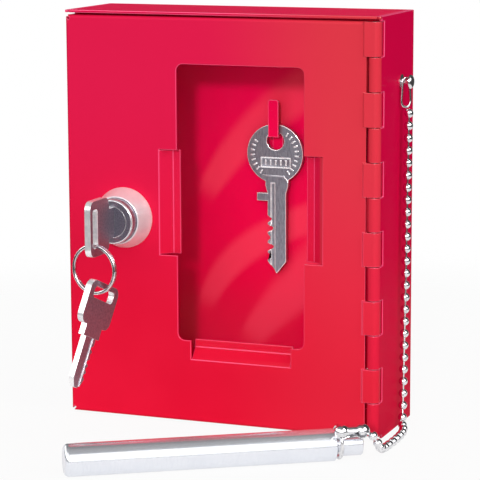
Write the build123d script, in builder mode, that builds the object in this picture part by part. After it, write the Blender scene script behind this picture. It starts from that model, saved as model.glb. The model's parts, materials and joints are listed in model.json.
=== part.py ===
"""Break glass key box: a folded sheet steel case, a windowed door on a rolled
hinge, a wafer cam lock, an emergency key on a hook and a hammer on a ball chain.

Millimetres. The origin is the middle of the base, on the surface that the case
stands on. +X is to the right of someone facing the door, -Y is the side that
the door faces and +Z is up.
"""
from build123d import *
from math import asin, atan2, cos, degrees, hypot, pi, radians, sin, tan
import os

os.makedirs("parts", exist_ok=True)

# ---- Case ----------------------------------------------------------------
case_width = 120.0
case_depth = 40.0
case_height = 150.0
sheet = 1.0
bend_radius = 1.5
corner_seam = 0.5
seam_land = 3.0
lip_width = 8.0
lip_end_gap = 9.0
wall_hole_radius = 2.5
wall_hole_spacing_x = 90.0
wall_hole_spacing_z = 120.0

# ---- Door ----------------------------------------------------------------
door_top_gap = 0.8
door_floor_gap = 0.8
door_flange = 7.5
flange_gap = 0.5
door_bend_radius = 1.2
corner_relief = 0.8
relief_reach = 2.2
flange_hinge_end = 7.0

# ---- Window and glass ----------------------------------------------------
window_width = 48.5
window_height = 100.5
window_left = 43.5
window_top = 18.5
window_radius = 2.5
tab_length = 38.0
tab_reach = 7.0
tab_foot = 4.2
tab_slit = 0.25
glass_thickness = 2.0
glass_lap_top = 4.5
glass_front_gap = 0.1
glass_back_gap = 0.3
glass_edge_gap = 0.2

# ---- Hinge ---------------------------------------------------------------
barrel_radius = 2.3
barrel_proud = 0.8
pin_radius = 1.25
pin_fit = 0.05
knuckle_count = 12
knuckle_gap = 0.2
barrel_end_gap = 1.4
knuckle_clear = 0.5
leaf_step = 1.2
curl_slit = 0.35
pin_dome = 0.5

# ---- Lock ----------------------------------------------------------------
lock_from_left = 22.7
lock_height = 75.0
rosette_radius = 11.1
rosette_rim = 0.8
rosette_height = 7.4
rosette_top_radius = 8.75
nose_radius = 8.15
nose_height = 11.35
nose_chamfer = 0.4
barrel_thread_radius = 7.0
barrel_flat = 6.2
housing_tail = 9.4
shoulder_depth = 3.6
fit_gap = 0.05
plug_radius = 5.6
tail_square = 5.0
tail_length = 1.7
cam_thickness = 1.6
cam_width = 11.0
cam_length = 20.0
cam_gap = 0.2
cam_screw_radius = 1.5
cam_screw_head_radius = 3.1
cam_screw_head = 1.8
cam_screw_depth = 3.8
nut_across_flats = 20.0
nut_thickness = 3.2
washer_radius = 10.0
washer_thickness = 0.8
washer_teeth = 16
wafer_count = 5
wafer_thickness = 0.9
wafer_pitch = 2.5
wafer_first = 3.2
wafer_width = 6.0
wafer_height = 9.2
wafer_gap = 0.1

# ---- Lock keys -----------------------------------------------------------
bow_length = 15.6
bow_width = 20.0
bow_thickness = 2.3
bow_outer_radius = 3.2
bow_inner_radius = 1.4
bow_slot_width = 4.2
bow_slot_length = 14.0
bow_slot_from_end = 1.9
key_length = 38.0
key_shoulder_width = 11.0
key_shoulder_gap = 0.3
blade_width = 7.2
blade_thickness = 2.1
blade_tip_width = 3.0
blade_tip_length = 3.2
blade_groove_width = 1.4
blade_groove_depth = 0.45
keyway_gap = 0.12
lock_key_reach = 20.0
cut_depths = (1.3, 0.7, 1.5, 0.9, 1.1)
cut_width = 1.2

# ---- Key ring and spare key ------------------------------------------------
ring_radius = 9.05
ring_wire_radial = 1.2
ring_wire_axial = 1.8
ring_wire_round = 0.45
ring_groove = 0.3
ring_yaw = -8.0
ring_rest = 0.4
ring_shift = 0.6
spare_on_ring = 17.0
spare_direction = (-0.16, -0.37, -0.92)
spare_across_hint = (0.08, 0.92, -0.38)
spare_hang = 3.4
spare_slide = -0.7

# ---- Hook and emergency key --------------------------------------------------
hook_width = 4.0
hook_thickness = 1.0
hook_reach = 6.0
hook_upright = 13.8
hook_foot = 9.0
hook_height = 103.4
hook_from_window_middle = 0.4
ekey_bow_radius = 11.0
ekey_thickness = 2.3
ekey_hole_radius = 3.4
ekey_rim = 2.8
ekey_rest = 0.08
ekey_bow_shift = 0.2
ekey_neck_width = 9.0
ekey_neck_drop = 23.0
ekey_wall_gap = 1.4
ekey_length = 56.1
ekey_blade_width = 7.3
ekey_blade_shift = 0.9
ekey_nub_drop = 27.3
ekey_nub_height = 3.0
ekey_nub_reach = 4.2
ekey_cuts = ((6.5, 1.2), (10.0, 2.2), (13.5, 1.0), (17.0, 2.0), (20.5, 1.4))
ekey_cut_width = 1.7
ekey_cut_flat = 0.4
ekey_groove_width = 1.5
ekey_groove_depth = 0.5
ekey_tip_length = 4.6

# ---- Stud, link and chain ------------------------------------------------------
chain_radius = 1.6
stud_y = 3.2
stud_height = 125.6
stud_neck_radius = 0.75
stud_neck_end = 3.4
stud_head_radius = 2.5
stud_head_length = 1.3
stud_collar_radius = 2.6
stud_collar_length = 0.6
stud_shank_radius = 1.2
stud_inner_radius = 2.2
stud_inner_length = 0.8
link_wire_radius = 0.45
link_yaw = 55.0
link_rest = 0.15
link_top_radius = 1.6
link_bottom_radius = 2.05
link_drop = 6.75
# The chain hangs beside the wall, meets the floor and rises to its clasp.
hanging_route = [
    (63.2, 3.3, 115.8),
    (62.9, 3.1, 89.0),
    (62.7, 3.0, 62.0),
    (62.3, 2.95, 36.0),
    (62.0, 2.8, 9.9),
]
lying_route = [
    (62.0, 2.8, 9.6),
    (62.0, 2.7, 5.0),
    (63.0, -1.0, 1.75),
    (65.6, -7.2, 1.65),
    (66.6, -14.8, 1.65),
    (66.8, -22.6, 1.65),
    (66.5, -30.4, 1.65),
    (66.9, -37.6, 2.4),
    (67.8, -43.6, 5.2),
    (68.0, -47.3, 8.8),
    (66.3, -48.4, 10.7),
]
arc_share = 0.45

# ---- Hammer and clasp ------------------------------------------------------------
hammer_radius = 5.6
hammer_length = 93.0
hammer_round = 1.8
hammer_edge = 0.3
hammer_groove_radius = 2.8
hammer_groove_length = 2.4
hammer_head_radius = 4.1
hammer_head_length = 7.2
hammer_neck_x = 53.2
hammer_neck_y = -48.4
hammer_yaw = 33.0
neck_ring_wire = 0.7
neck_ring_gap = 0.1
neck_ring_radius = 5.45
neck_ring_lean = 45.0
lobe_radius = 2.6
lobe_from_axis = 8.3
clasp_far_end = (63.7, -49.3, 11.6)
clasp_waist_radius = 1.9

# ---- Places worked out from the sizes above --------------------------------
front = -case_depth / 2
back = case_depth / 2
left = -case_width / 2
right = case_width / 2
door_back = front + sheet
flange_end = front + door_flange
wall_front = flange_end + flange_gap
door_top = case_height - sheet - door_top_gap

pin_x = right - barrel_radius
pin_y = front - barrel_proud + barrel_radius
knuckle_top = door_top
knuckle_pitch = (knuckle_top - barrel_end_gap) / knuckle_count
leaf_left = pin_x - barrel_radius - leaf_step
notch_edge = pin_x - barrel_radius - knuckle_clear

window_x = left + window_left + window_width / 2
window_bottom = case_height - window_top - window_height
window_z = window_bottom + window_height / 2
tab_front = door_back + glass_front_gap + glass_thickness + glass_back_gap
glass_front = door_back + glass_front_gap
glass_back = glass_front + glass_thickness

lock_x = left + lock_from_left
nose_front = front - nose_height
housing_back = front + housing_tail
key_outer_end = nose_front - lock_key_reach


def polygon(*points, mode=Mode.ADD):
    """One closed flat face through the points, where they are."""
    Polygon(*points, align=None, mode=mode)


def block(x_range, y_range, z_range, mode=Mode.ADD):
    """A box from its lowest to its highest corner."""
    ranges = (x_range, y_range, z_range)
    sizes = [high - low for low, high in ranges]
    middle = [(low + high) / 2 for low, high in ranges]
    with Locations(tuple(middle)):
        Box(*sizes, mode=mode)


def knuckle_span(index):
    """Lowest and highest point of the hinge knuckle with this index from the top."""
    high = knuckle_top - index * knuckle_pitch
    return high - knuckle_pitch, high


door_knuckles = range(0, knuckle_count, 2)
case_knuckles = range(1, knuckle_count, 2)


def barrel_section():
    """A rolled barrel's ring around the pin."""
    Circle(barrel_radius)
    Circle(pin_radius + pin_fit, mode=Mode.SUBTRACT)


# ---- Case shell ------------------------------------------------------------
with BuildPart() as case_shell:
    block((left, right), (back - sheet, back), (0, case_height))
    block((left, right), (front, back - sheet), (case_height - sheet, case_height))
    block((left, right), (wall_front, back - sheet), (0, sheet))
    block((left, left + sheet), (wall_front, back - sheet), (0, case_height))
    block((right - sheet, right), (pin_y, back - sheet), (0, case_height))
    back_edges = case_shell.edges().filter_by_position(Axis.Y, back - 0.01, back + 0.01)
    fillet(back_edges, bend_radius)
    # Inward lips stiffen the left and bottom walls and give the cam its catch.
    block(
        (left, left + lip_width),
        (wall_front, wall_front + sheet),
        (lip_end_gap, case_height - lip_end_gap),
    )
    block(
        (left + lip_end_gap, right - lip_end_gap),
        (wall_front, wall_front + sheet),
        (0, lip_width),
    )
    # The walls meet in open corner seams, closed only near the back bends.
    for x_low in (left + sheet, right - sheet - corner_seam):
        for z_low in (0, case_height - sheet):
            block(
                (x_low, x_low + corner_seam),
                (front, back - seam_land),
                (z_low, z_low + sheet),
                mode=Mode.SUBTRACT,
            )
    # The right wall is cut back around the door's knuckles and above the barrel.
    cut_back = pin_y + barrel_radius + knuckle_clear
    for index in door_knuckles:
        low, high = knuckle_span(index)
        block((right - sheet, right), (front, cut_back), (low, high), mode=Mode.SUBTRACT)
    block((right - sheet, right), (front, cut_back), (0, barrel_end_gap), mode=Mode.SUBTRACT)
    # The wall's own knuckles: the sheet rolls forward and round the pin.
    for index in case_knuckles:
        low, high = knuckle_span(index)
        with BuildSketch(Plane.XY.offset(low + knuckle_gap / 2)):
            with Locations((pin_x, pin_y)):
                barrel_section()
            with Locations((right - sheet / 2, (pin_y + cut_back) / 2)):
                Rectangle(sheet, cut_back - pin_y)
            with Locations((right - sheet - curl_slit / 2, pin_y + barrel_radius / 2 + sheet / 2)):
                Rectangle(curl_slit, barrel_radius - sheet / 2, mode=Mode.SUBTRACT)
        extrude(amount=knuckle_pitch - knuckle_gap)
    # Four screw holes in the back panel, and the stud's rivet hole.
    with Locations(Plane.XZ.offset(-back)):
        with Locations((0, case_height / 2)):
            with GridLocations(wall_hole_spacing_x, wall_hole_spacing_z, 2, 2):
                Hole(wall_hole_radius, depth=sheet)
    with Locations(Plane.YZ.offset(right)):
        with Locations((stud_y, stud_height)):
            Hole(stud_shank_radius, depth=sheet)
case_shell.part.label = "case_shell"
export_step(case_shell.part, "parts/case_shell.step")


def tab_section(depth_start, foot, edge):
    """Section of a glass tab: a slope from the door's face, then a flat foot.

    The first coordinate runs away from the window's edge, the second is Y."""
    slope = atan2(tab_front - front, tab_reach - foot)
    sloping_gap = sheet * tan((pi / 2 - slope) / 2)
    polygon(
        (tab_reach, front),
        (foot, tab_front),
        (edge, tab_front),
        (edge, tab_front + sheet),
        (foot + sloping_gap, tab_front + sheet),
        (tab_reach + sloping_gap, door_back),
        (tab_reach + sloping_gap, depth_start),
    )


# ---- Door --------------------------------------------------------------------
tab_foot_reach = tab_reach - tab_foot
with BuildPart() as door_panel:
    block((left, notch_edge), (front, door_back), (door_floor_gap, door_top))
    flange_right = right - flange_hinge_end
    block((left, left + sheet), (door_back, flange_end), (door_floor_gap, door_top))
    block((left, flange_right), (door_back, flange_end), (door_top - sheet, door_top))
    block(
        (left, flange_right),
        (door_back, flange_end),
        (door_floor_gap, door_floor_gap + sheet),
    )
    front_edges = door_panel.edges().filter_by_position(Axis.Y, front - 0.01, front + 0.01)
    rolled = front_edges.filter_by(Axis.X) + front_edges.filter_by(Axis.Z).sort_by(Axis.X)[:1]
    fillet(rolled, door_bend_radius)
    # Corner reliefs keep the left flange apart from the top and bottom ones.
    for corner_z, tilt in ((door_floor_gap, 45), (door_top, -45)):
        relief_plane = Plane(
            origin=(left, front, corner_z),
            x_dir=(cos(radians(tilt)), 0, sin(radians(tilt))),
            z_dir=(0, -1, 0),
        )
        with BuildSketch(relief_plane.offset(-door_flange)):
            Rectangle(2 * relief_reach, corner_relief)
        extrude(amount=2 * door_flange, mode=Mode.SUBTRACT)
    # The window, and the slits where the three glass tabs are pressed back.
    with BuildSketch(Plane.XZ.offset(-front)):
        with Locations((window_x, window_z)):
            RectangleRounded(window_width, window_height, window_radius)
            Rectangle(window_width + 2 * tab_reach, tab_length + 2 * tab_slit)
        with Locations((window_x, window_bottom - tab_reach / 2)):
            Rectangle(tab_length + 2 * tab_slit, tab_reach + 2 * window_radius)
    extrude(amount=-sheet, mode=Mode.SUBTRACT)
    with BuildSketch(Plane.XZ.offset(-front)):
        with Locations((window_x, window_bottom - tab_reach - window_radius / 2)):
            Rectangle(tab_length + 2 * tab_slit, window_radius)
    extrude(amount=-sheet)
    for side in (-1, 1):
        tab_plane = Plane(
            origin=(window_x + side * window_width / 2, 0, window_z - side * tab_length / 2),
            x_dir=(side, 0, 0),
            z_dir=(0, 0, side),
        )
        with BuildSketch(tab_plane):
            tab_section(front, tab_foot_reach, 0)
        extrude(amount=tab_length)
    bottom_tab_plane = Plane(
        origin=(window_x - tab_length / 2, 0, window_bottom),
        x_dir=(0, 0, -1),
        z_dir=(1, 0, 0),
    )
    with BuildSketch(bottom_tab_plane):
        tab_section(front, tab_foot_reach, 0)
    extrude(amount=tab_length)
    # The hinge side: each knuckle's leaf steps forward and rolls round the pin.
    for index in door_knuckles:
        low, high = knuckle_span(index)
        with BuildSketch(Plane.XY.offset(low + knuckle_gap / 2)):
            with Locations((pin_x, pin_y)):
                barrel_section()
            polygon(
                (notch_edge - leaf_step, front),
                (leaf_left, front - barrel_proud),
                (pin_x, front - barrel_proud),
                (pin_x, front - barrel_proud + sheet),
                (leaf_left, door_back),
                (notch_edge - leaf_step, door_back),
            )
            slit_x = pin_x - (barrel_radius + pin_radius) / 2
            with Locations((slit_x, front - barrel_proud + sheet + curl_slit / 2)):
                Rectangle(barrel_radius, curl_slit, mode=Mode.SUBTRACT)
        extrude(amount=knuckle_pitch - knuckle_gap)
    # The lock's hole has two flats, which stop the housing from turning.
    with BuildSketch(Plane.XZ.offset(-front)):
        with Locations((lock_x, lock_height)):
            Circle(barrel_thread_radius + fit_gap)
            Rectangle(
                2 * (barrel_flat + fit_gap),
                2 * (barrel_thread_radius + fit_gap),
                mode=Mode.INTERSECT,
            )
    extrude(amount=-sheet, mode=Mode.SUBTRACT)
door_panel.part.label = "door_panel"
export_step(door_panel.part, "parts/door_panel.step")

# ---- Hinge pin ---------------------------------------------------------------
with BuildPart() as hinge_pin:
    with BuildSketch(Plane.XY.offset(barrel_end_gap)):
        with Locations((pin_x, pin_y)):
            Circle(pin_radius)
    extrude(amount=knuckle_top - barrel_end_gap)
    fillet(hinge_pin.edges().filter_by(GeomType.CIRCLE), pin_dome)
hinge_pin.part.label = "hinge_pin"
export_step(hinge_pin.part, "parts/hinge_pin.step")

# ---- Glass -------------------------------------------------------------------
# Each edge stands just clear of the tab's slope at the glass's back face.
slope_run = tab_foot / (tab_front - front)
glass_lap = tab_foot_reach + slope_run * (tab_front - glass_back) - glass_edge_gap
with BuildPart() as glass_pane:
    block(
        (window_x - window_width / 2 - glass_lap, window_x + window_width / 2 + glass_lap),
        (glass_front, glass_back),
        (window_bottom - glass_lap, window_bottom + window_height + glass_lap_top),
    )
    chamfer(glass_pane.edges().filter_by(Axis.Y), 1.0)
glass_pane.part.label = "glass_pane"
export_step(glass_pane.part, "parts/glass_pane.step")

# ---- Lock: rosette, housing, washer, nut ---------------------------------------
# The lock's own plane: local x is the radius and local y is the way out of the door.
lock_plane = Plane(
    origin=(lock_x, front, lock_height),
    x_dir=(1, 0, 0),
    z_dir=(0, 0, -1),
)
lock_axis = Axis((lock_x, front, lock_height), (0, 1, 0))
lock_face = Plane(
    origin=(lock_x, front, lock_height),
    x_dir=(1, 0, 0),
    z_dir=(0, -1, 0),
)

with BuildPart() as lock_rosette:
    with BuildSketch(lock_plane):
        polygon(
            (barrel_thread_radius + fit_gap, 0),
            (rosette_radius, 0),
            (rosette_radius, rosette_rim),
            (rosette_top_radius, rosette_height),
            (nose_radius + fit_gap, rosette_height),
            (nose_radius + fit_gap, shoulder_depth),
            (barrel_thread_radius + fit_gap, shoulder_depth),
        )
    revolve(axis=lock_axis)
lock_rosette.part.label = "lock_rosette"
export_step(lock_rosette.part, "parts/lock_rosette.step")

with BuildPart() as lock_housing:
    with BuildSketch(lock_face.offset(-housing_tail)):
        Circle(barrel_thread_radius)
        Rectangle(2 * barrel_flat, 2 * barrel_thread_radius, mode=Mode.INTERSECT)
    extrude(amount=housing_tail + shoulder_depth)
    with BuildSketch(lock_face.offset(shoulder_depth)):
        Circle(nose_radius)
    extrude(amount=nose_height - shoulder_depth)
    nose_edges = lock_housing.edges().filter_by_position(
        Axis.Y, nose_front - 0.01, nose_front + 0.01
    )
    chamfer(nose_edges, nose_chamfer)
    with BuildSketch(lock_face.offset(-housing_tail)):
        Circle(plug_radius + fit_gap)
    extrude(amount=housing_tail + nose_height, mode=Mode.SUBTRACT)
lock_housing.part.label = "lock_housing"
export_step(lock_housing.part, "parts/lock_housing.step")

with BuildPart() as lock_washer:
    with BuildSketch(lock_face.offset(-sheet)):
        Circle(washer_radius)
        with PolarLocations(washer_radius, washer_teeth):
            Rectangle(2 * washer_thickness, washer_thickness, mode=Mode.SUBTRACT)
        Circle(barrel_thread_radius + fit_gap, mode=Mode.SUBTRACT)
    extrude(amount=-washer_thickness)
lock_washer.part.label = "lock_washer"
export_step(lock_washer.part, "parts/lock_washer.step")

with BuildPart() as lock_nut:
    with BuildSketch(lock_face.offset(-sheet - washer_thickness)):
        RegularPolygon(nut_across_flats / 2, 6, major_radius=False)
        Circle(barrel_thread_radius + fit_gap, mode=Mode.SUBTRACT)
    extrude(amount=-nut_thickness)
lock_nut.part.label = "lock_nut"
export_step(lock_nut.part, "parts/lock_nut.step")

# ---- Lock: plug, wafers, cam and screw --------------------------------------------
plug_back = housing_tail + cam_gap
with BuildPart() as lock_plug:
    with BuildSketch(lock_face.offset(-plug_back)):
        Circle(plug_radius)
    extrude(amount=plug_back + nose_height)
    with BuildSketch(lock_face.offset(-plug_back)):
        Rectangle(tail_square, tail_square)
    extrude(amount=-tail_length)
    keyway_depth = key_length - lock_key_reach + key_shoulder_gap
    with BuildSketch(lock_face.offset(nose_height)):
        Rectangle(blade_thickness + 2 * keyway_gap, blade_width + 2 * keyway_gap)
    extrude(amount=-keyway_depth, mode=Mode.SUBTRACT)
    for index in range(wafer_count):
        slot_start = nose_height - wafer_first - index * wafer_pitch
        with BuildSketch(lock_face.offset(slot_start + wafer_gap + wafer_thickness / 2)):
            Rectangle(wafer_width + 2 * wafer_gap, 2 * plug_radius)
        extrude(amount=-wafer_thickness - 2 * wafer_gap, mode=Mode.SUBTRACT)
    with BuildSketch(lock_face.offset(-plug_back - tail_length)):
        Circle(cam_screw_radius)
    extrude(amount=cam_screw_depth, mode=Mode.SUBTRACT)
lock_plug.part.label = "lock_plug"
export_step(lock_plug.part, "parts/lock_plug.step")

with BuildPart() as lock_wafers:
    for index in range(wafer_count):
        slot_start = nose_height - wafer_first - index * wafer_pitch
        with BuildSketch(lock_face.offset(slot_start + wafer_thickness / 2)):
            Circle(plug_radius - wafer_gap)
            Rectangle(wafer_width, wafer_height, mode=Mode.INTERSECT)
            Rectangle(
                blade_thickness + 4 * keyway_gap,
                blade_width + 4 * keyway_gap,
                mode=Mode.SUBTRACT,
            )
        extrude(amount=-wafer_thickness)
lock_wafers.part.label = "lock_wafers"
export_step(lock_wafers.part, "parts/lock_wafers.step")

with BuildPart() as lock_cam:
    with BuildSketch(lock_face.offset(-plug_back)):
        Circle(cam_width / 2 + 2 * fit_gap)
        with Locations((0, -cam_length / 2)):
            RectangleRounded(cam_width, cam_length, cam_width / 4)
        with Locations((0, 0)):
            Rectangle(
                tail_square + 2 * fit_gap, tail_square + 2 * fit_gap, mode=Mode.SUBTRACT
            )
    extrude(amount=-cam_thickness)
lock_cam.part.label = "lock_cam"
export_step(lock_cam.part, "parts/lock_cam.step")

with BuildPart() as cam_screw:
    with BuildSketch(lock_face.offset(-plug_back - tail_length)):
        Circle(cam_screw_head_radius)
    extrude(amount=-cam_screw_head)
    head_edges = cam_screw.edges().sort_by(Axis.Y)[-1:]
    fillet(head_edges, cam_screw_head / 3)
    with BuildSketch(lock_face.offset(-plug_back - tail_length)):
        Circle(cam_screw_radius - fit_gap)
    extrude(amount=cam_screw_depth - 2 * cam_gap)
    with BuildSketch(lock_face.offset(-plug_back - tail_length - cam_screw_head)):
        Rectangle(cam_screw_radius * 2, cam_screw_head / 3)
        Rectangle(cam_screw_head / 3, cam_screw_radius * 2)
    extrude(amount=cam_screw_head / 2, mode=Mode.SUBTRACT)
cam_screw.part.label = "cam_screw"
export_step(cam_screw.part, "parts/cam_screw.step")


# ---- Lock keys -----------------------------------------------------------------------
def lock_key_shape(place):
    """A flat key. Local x runs from the bow's outer end to the tip, y is across."""
    shoulder_end = lock_key_reach - key_shoulder_gap
    half = blade_width / 2
    with BuildPart() as key:
        with BuildSketch(place.offset(-bow_thickness / 2)):
            with Locations((bow_length / 2, 0)):
                RectangleRounded(bow_length, bow_width, bow_outer_radius)
            with Locations((shoulder_end / 2 + bow_length / 2 - bow_inner_radius, 0)):
                Rectangle(
                    shoulder_end - bow_length + 2 * bow_inner_radius, key_shoulder_width
                )
            with Locations((bow_slot_from_end + bow_slot_width / 2, 0)):
                RectangleRounded(
                    bow_slot_width, bow_slot_length, bow_inner_radius, mode=Mode.SUBTRACT
                )
        extrude(amount=bow_thickness)
        with BuildSketch(place.offset(-blade_thickness / 2)):
            polygon(
                (shoulder_end - bow_inner_radius, -half),
                (key_length - blade_tip_length, -half),
                (key_length, -blade_tip_width / 2),
                (key_length, blade_tip_width / 2),
                (key_length - blade_tip_length, half),
                (shoulder_end - bow_inner_radius, half),
            )
            for index, depth in enumerate(cut_depths):
                middle = lock_key_reach + wafer_first + index * wafer_pitch
                flat = wafer_gap + wafer_thickness / 4
                polygon(
                    (middle - cut_width, half + 2 * wafer_gap),
                    (middle - flat, half - depth),
                    (middle + flat, half - depth),
                    (middle + cut_width, half + 2 * wafer_gap),
                    mode=Mode.SUBTRACT,
                )
        extrude(amount=blade_thickness)
        groove_x = (shoulder_end + key_length) / 2
        for side in (-1, 1):
            groove_z = side * (blade_thickness - blade_groove_depth) / 2
            with BuildSketch(place.offset(groove_z - blade_groove_depth / 2)):
                with Locations((groove_x, side * half / 3)):
                    Rectangle(key_length - shoulder_end, blade_groove_width)
            extrude(amount=blade_groove_depth, mode=Mode.SUBTRACT)
    return key.part


lock_key_place = Plane(
    origin=(lock_x, key_outer_end, lock_height),
    x_dir=(0, 1, 0),
    z_dir=(1, 0, 0),
)
lock_key_solid = lock_key_shape(lock_key_place)
with BuildPart() as lock_key:
    add(lock_key_solid)
lock_key.part.label = "lock_key"
export_step(lock_key.part, "parts/lock_key.step")

# ---- Key ring and spare key -------------------------------------------------------------
slot_bottom = lock_height - bow_slot_length / 2
ring_inner = ring_radius - ring_wire_radial
ring_middle = ring_radius - ring_wire_radial / 2
ring_centre = Vector(
    lock_x + ring_shift,
    key_outer_end + bow_slot_from_end + bow_slot_width / 2,
    slot_bottom + ring_rest - ring_inner,
)
ring_across = Vector(cos(radians(ring_yaw)), sin(radians(ring_yaw)), 0)
ring_normal = Vector(-sin(radians(ring_yaw)), cos(radians(ring_yaw)), 0)
up = Vector(0, 0, 1)
with BuildPart() as key_ring:
    with BuildSketch(Plane(origin=ring_centre, x_dir=ring_across, z_dir=up)):
        with Locations((ring_middle, 0)):
            RectangleRounded(ring_wire_radial, ring_wire_axial, ring_wire_round)
        with Locations((ring_radius, 0)):
            Rectangle(ring_groove, ring_groove, mode=Mode.SUBTRACT)
    revolve(axis=Axis(ring_centre, ring_normal))
key_ring.part.label = "key_ring"
export_step(key_ring.part, "parts/key_ring.step")

spare_angle = radians(spare_on_ring)
spare_touch = (
    ring_centre
    + ring_across * (ring_middle * sin(spare_angle))
    - up * (ring_middle * cos(spare_angle))
)
spare_down = Vector(*spare_direction).normalized()
spare_across = Vector(*spare_across_hint).normalized()
spare_normal = spare_down.cross(spare_across).normalized()
spare_start = spare_touch - spare_down * spare_hang - spare_across * spare_slide
spare_key_place = Plane(origin=spare_start, x_dir=spare_down, z_dir=spare_normal)
spare_key_solid = lock_key_shape(spare_key_place)
with BuildPart() as spare_key:
    add(spare_key_solid)
spare_key.part.label = "spare_key"
export_step(spare_key.part, "parts/spare_key.step")

# ---- Hook and emergency key ----------------------------------------------------------------
hook_x = window_x + hook_from_window_middle
inner_back = back - sheet
hook_back = inner_back - hook_reach
with BuildPart() as key_hook:
    with BuildSketch(Plane.YZ.offset(hook_x - hook_width / 2)):
        polygon(
            (inner_back, hook_height),
            (hook_back + hook_thickness, hook_height),
            (hook_back + hook_thickness, hook_height + hook_upright - hook_thickness),
            (hook_back, hook_height + hook_upright - hook_thickness),
            (hook_back, hook_height - hook_thickness),
            (inner_back - hook_thickness, hook_height - hook_thickness),
            (inner_back - hook_thickness, hook_height - hook_foot),
            (inner_back, hook_height - hook_foot),
        )
    extrude(amount=hook_width)
    tip_edges = key_hook.edges().filter_by(Axis.Y).sort_by(Axis.Z)[-2:]
    fillet(tip_edges, hook_thickness)
key_hook.part.label = "key_hook"
export_step(key_hook.part, "parts/key_hook.step")

ekey_back = inner_back - ekey_wall_gap
ekey_front = ekey_back - ekey_thickness
# The round hole rests on the strip's two upper edges.
ekey_hole_drop = (ekey_hole_radius**2 - (hook_width / 2) ** 2) ** 0.5
ekey_hole_z = hook_height + ekey_rest - ekey_hole_drop
ekey_bow_x = window_x + ekey_bow_shift
ekey_top = ekey_hole_z + ekey_hole_radius + ekey_rim
ekey_bow_z = ekey_top - ekey_bow_radius
ekey_tip = ekey_top - ekey_length
ekey_blade_x = window_x + ekey_blade_shift
with BuildPart() as emergency_key:
    half = ekey_blade_width / 2
    blade_left = ekey_blade_x - half
    blade_right = ekey_blade_x + half
    with BuildSketch(Plane.XZ.offset(-ekey_back)):
        with Locations((ekey_bow_x, ekey_bow_z)):
            Circle(ekey_bow_radius)
        polygon(
            (ekey_blade_x - ekey_neck_width / 2, ekey_bow_z),
            (ekey_blade_x - ekey_neck_width / 2, ekey_top - ekey_neck_drop),
            (blade_left, ekey_top - ekey_neck_drop - ekey_rim),
            (blade_right, ekey_top - ekey_neck_drop - ekey_rim),
            (ekey_blade_x + ekey_neck_width / 2, ekey_top - ekey_neck_drop),
            (ekey_blade_x + ekey_neck_width / 2, ekey_bow_z),
        )
        polygon(
            (blade_left, ekey_bow_z),
            (blade_left, ekey_tip + ekey_tip_length),
            (ekey_blade_x, ekey_tip),
            (blade_right, ekey_tip + ekey_tip_length),
            (blade_right, ekey_bow_z),
        )
        with Locations((blade_left, ekey_top - ekey_nub_drop)):
            Rectangle(2 * ekey_nub_reach, ekey_nub_height)
        for height, depth in ekey_cuts:
            polygon(
                (blade_left - ekey_cut_flat, ekey_tip + height - ekey_cut_width),
                (blade_left + depth, ekey_tip + height - ekey_cut_flat),
                (blade_left + depth, ekey_tip + height + ekey_cut_flat),
                (blade_left - ekey_cut_flat, ekey_tip + height + ekey_cut_width),
                mode=Mode.SUBTRACT,
            )
        with Locations((hook_x, ekey_hole_z)):
            Circle(ekey_hole_radius, mode=Mode.SUBTRACT)
    extrude(amount=ekey_thickness)
    groove_top = ekey_bow_z - ekey_bow_radius
    for side, face_y in ((-1, ekey_front), (1, ekey_back)):
        groove_x = ekey_blade_x + side * ekey_groove_width
        block(
            (groove_x - ekey_groove_width / 2, groove_x + ekey_groove_width / 2),
            (face_y - ekey_groove_depth, face_y + ekey_groove_depth),
            (ekey_tip, groove_top),
            mode=Mode.SUBTRACT,
        )
emergency_key.part.label = "emergency_key"
export_step(emergency_key.part, "parts/emergency_key.step")

# ---- Stud, link and chain ---------------------------------------------------------------------
stud_plane = Plane(origin=(right, stud_y, stud_height), x_dir=(1, 0, 0), z_dir=(0, -1, 0))
stud_axis = Axis((right, stud_y, stud_height), (1, 0, 0))
stud_outer = stud_neck_end + stud_head_length
with BuildPart() as chain_stud:
    with BuildSketch(stud_plane):
        polygon(
            (-sheet - stud_inner_length, 0),
            (-sheet - stud_inner_length, stud_inner_radius),
            (-sheet, stud_inner_radius),
            (-sheet, stud_shank_radius - fit_gap),
            (0, stud_shank_radius - fit_gap),
            (0, stud_collar_radius),
            (stud_collar_length, stud_collar_radius),
            (stud_collar_length, stud_neck_radius),
            (stud_neck_end, stud_neck_radius),
            (stud_neck_end, stud_head_radius),
            (stud_outer, stud_head_radius),
            (stud_outer, 0),
        )
    revolve(axis=stud_axis)
    outer_edges = chain_stud.edges().filter_by_position(
        Axis.X, right + stud_outer - 0.01, right + stud_outer + 0.01
    )
    fillet(outer_edges, stud_head_length - 2 * fit_gap)
chain_stud.part.label = "chain_stud"
export_step(chain_stud.part, "parts/chain_stud.step")

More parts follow.
